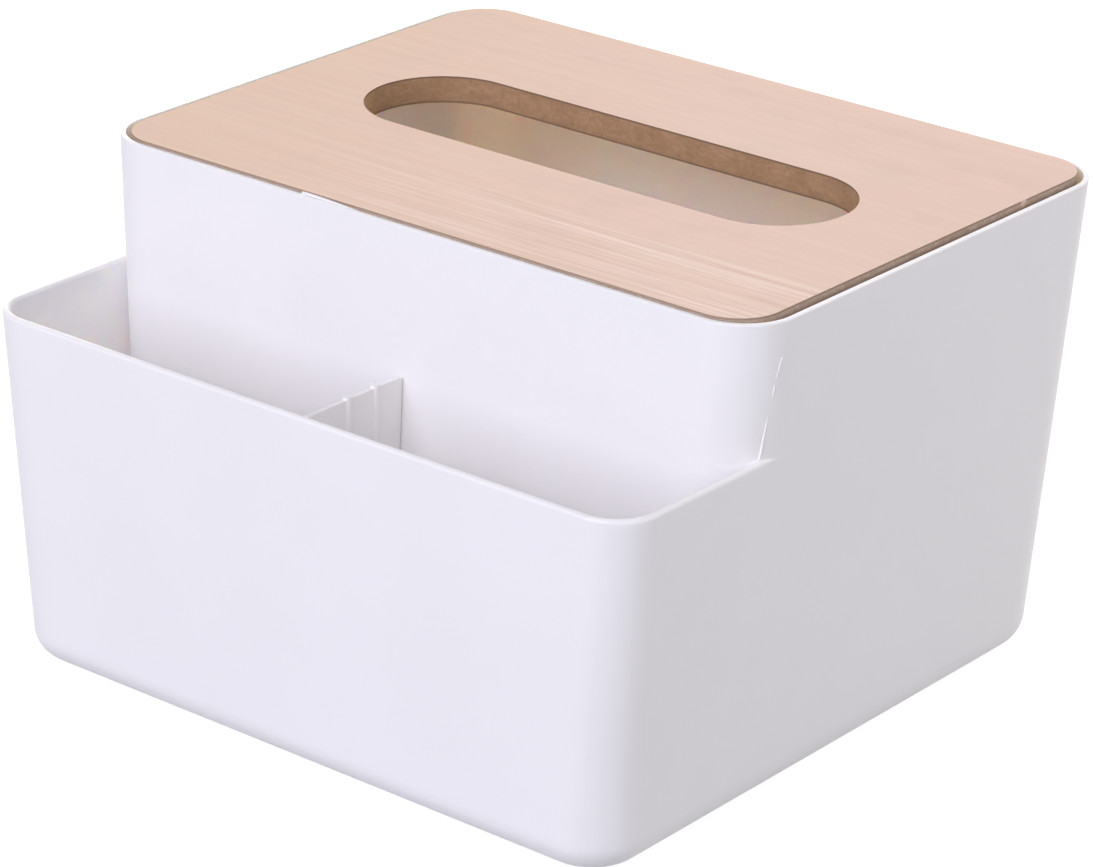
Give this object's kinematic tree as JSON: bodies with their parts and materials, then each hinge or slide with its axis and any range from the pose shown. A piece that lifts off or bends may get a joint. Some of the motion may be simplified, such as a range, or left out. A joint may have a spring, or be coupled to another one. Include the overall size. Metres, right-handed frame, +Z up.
{
  "type": "tissue box organizer",
  "caption": "Tabletop tissue box with a lift-off wood-faced lid, a long round-ended dispensing slot, and an open front tray split by a lift-out divider.",
  "frame": {"origin": "on the resting plane, under the middle of the part's bounding box", "axes": "+Z up, +X to the right seen from the tray, the tray's open front towards -Y"},
  "size_m": [0.2, 0.1846, 0.1249],
  "materials": {
    "white_plastic": "satin moulded",
    "fibreboard": "bare cut edge",
    "pale_veneer": "matt sealed",
    "pad_rubber": "matt"
  },
  "bodies": {
    "body": {"body_shell": "white_plastic", "foot_pad_front_left": "pad_rubber", "foot_pad_front_right": "pad_rubber", "foot_pad_back_left": "pad_rubber", "foot_pad_back_right": "pad_rubber"},
    "lid": {"lid_board": "fibreboard", "lid_face_veneer": "pale_veneer", "lid_back_veneer": "pale_veneer"},
    "divider": {"tray_divider": "white_plastic"}
  },
  "joints": [
    {"name": "lid_lift", "type": "slide", "parent": "body", "child": "lid", "axis": [0, 0, 1], "range_m": [0, 0.06]},
    {"name": "divider_lift", "type": "slide", "parent": "body", "child": "divider", "axis": [0, 0, 1], "range_m": [0, 0.1]}
  ]
}
